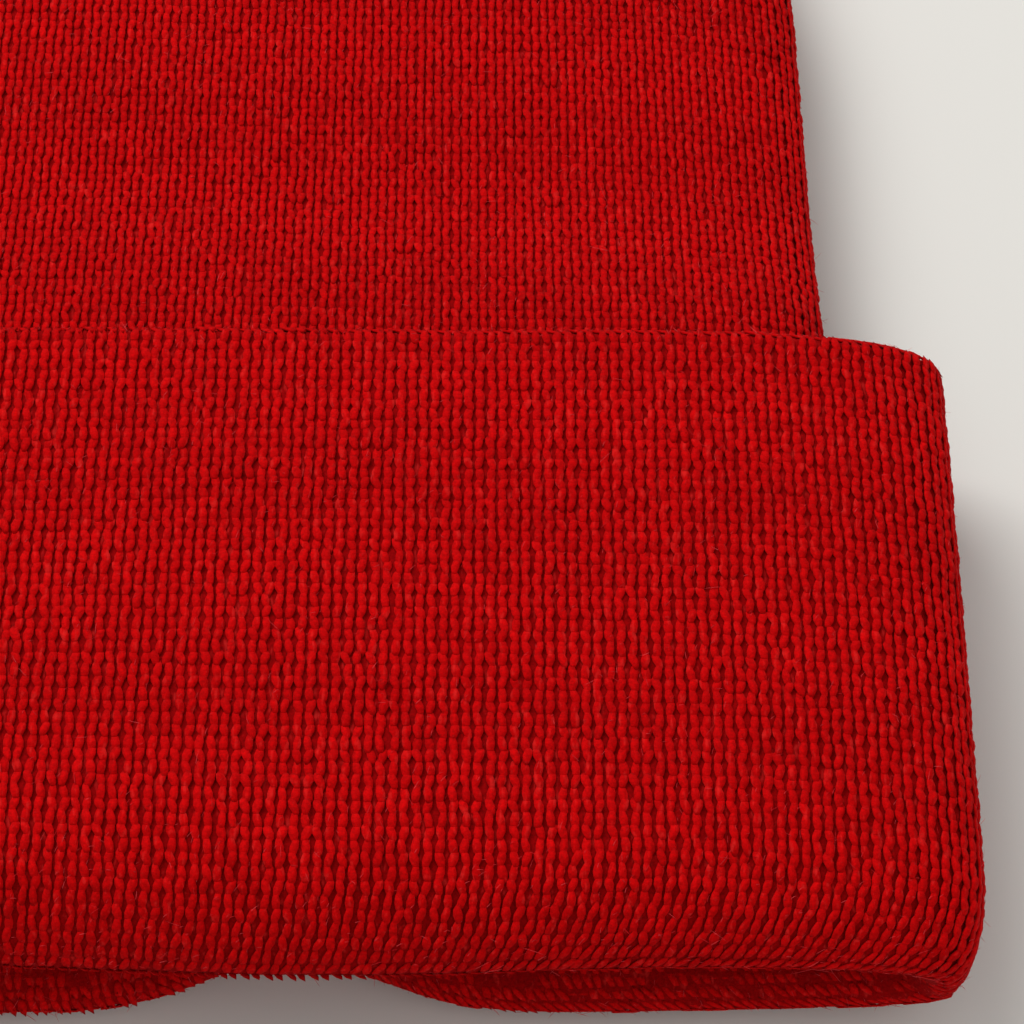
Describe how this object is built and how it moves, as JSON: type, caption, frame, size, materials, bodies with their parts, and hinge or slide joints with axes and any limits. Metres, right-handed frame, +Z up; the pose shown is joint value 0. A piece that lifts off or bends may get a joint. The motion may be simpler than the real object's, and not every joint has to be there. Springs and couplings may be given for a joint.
{
  "type": "pom pom beanie",
  "caption": "Soft knitted beanie lying flat, with a turned-up double cuff, a darted crown, a blank inner label and a yarn pom pom that swings on its binding cord.",
  "frame": {"origin": "middle of the whole hat's box, on the table it lies on", "axes": "+X across the hat, +Y from the brim to the pom pom, +Z up from the table"},
  "size_m": [0.215, 0.2724, 0.072],
  "materials": {
    "knit_yarn": "fine-gauge knit",
    "sewing_thread": "overlocked thread",
    "label_tape": "woven satin tape",
    "binding_cord": "twisted cord",
    "pompom_yarn": "cut pile"
  },
  "bodies": {
    "hat": {"anchor_cord": "binding_cord", "anchor_knot": "binding_cord", "brim_fold_inner": "knit_yarn", "brim_fold_outer": "knit_yarn", "care_label": "label_tape", "crown_body": "knit_yarn", "crown_closure": "sewing_thread", "crown_dome": "knit_yarn", "crown_lining": "knit_yarn", "cuff_backing": "knit_yarn", "cuff_face": "knit_yarn", "cuff_top_fold": "knit_yarn", "dart_seam_back_left": "sewing_thread", "dart_seam_back_right": "sewing_thread", "dart_seam_front_left": "sewing_thread", "dart_seam_front_right": "sewing_thread", "label_stitch": "sewing_thread"},
    "cord_swivel": {"lower_tail": "binding_cord"},
    "pompom": {"upper_tail": "binding_cord", "tie_knot": "binding_cord", "pompom_tie": "binding_cord", "pompom_yarn": "pompom_yarn"}
  },
  "joints": [
    {"name": "pompom_swing", "type": "hinge", "parent": "hat", "child": "cord_swivel", "pos_m": [0, 0.0702, 0.02], "axis": [0, 0, 1], "range_deg": [-20, 20]},
    {"name": "pompom_lift", "type": "hinge", "parent": "cord_swivel", "child": "pompom", "pos_m": [0, 0.0702, 0.02], "axis": [1, 0, 0], "range_deg": [0, 20]}
  ]
}
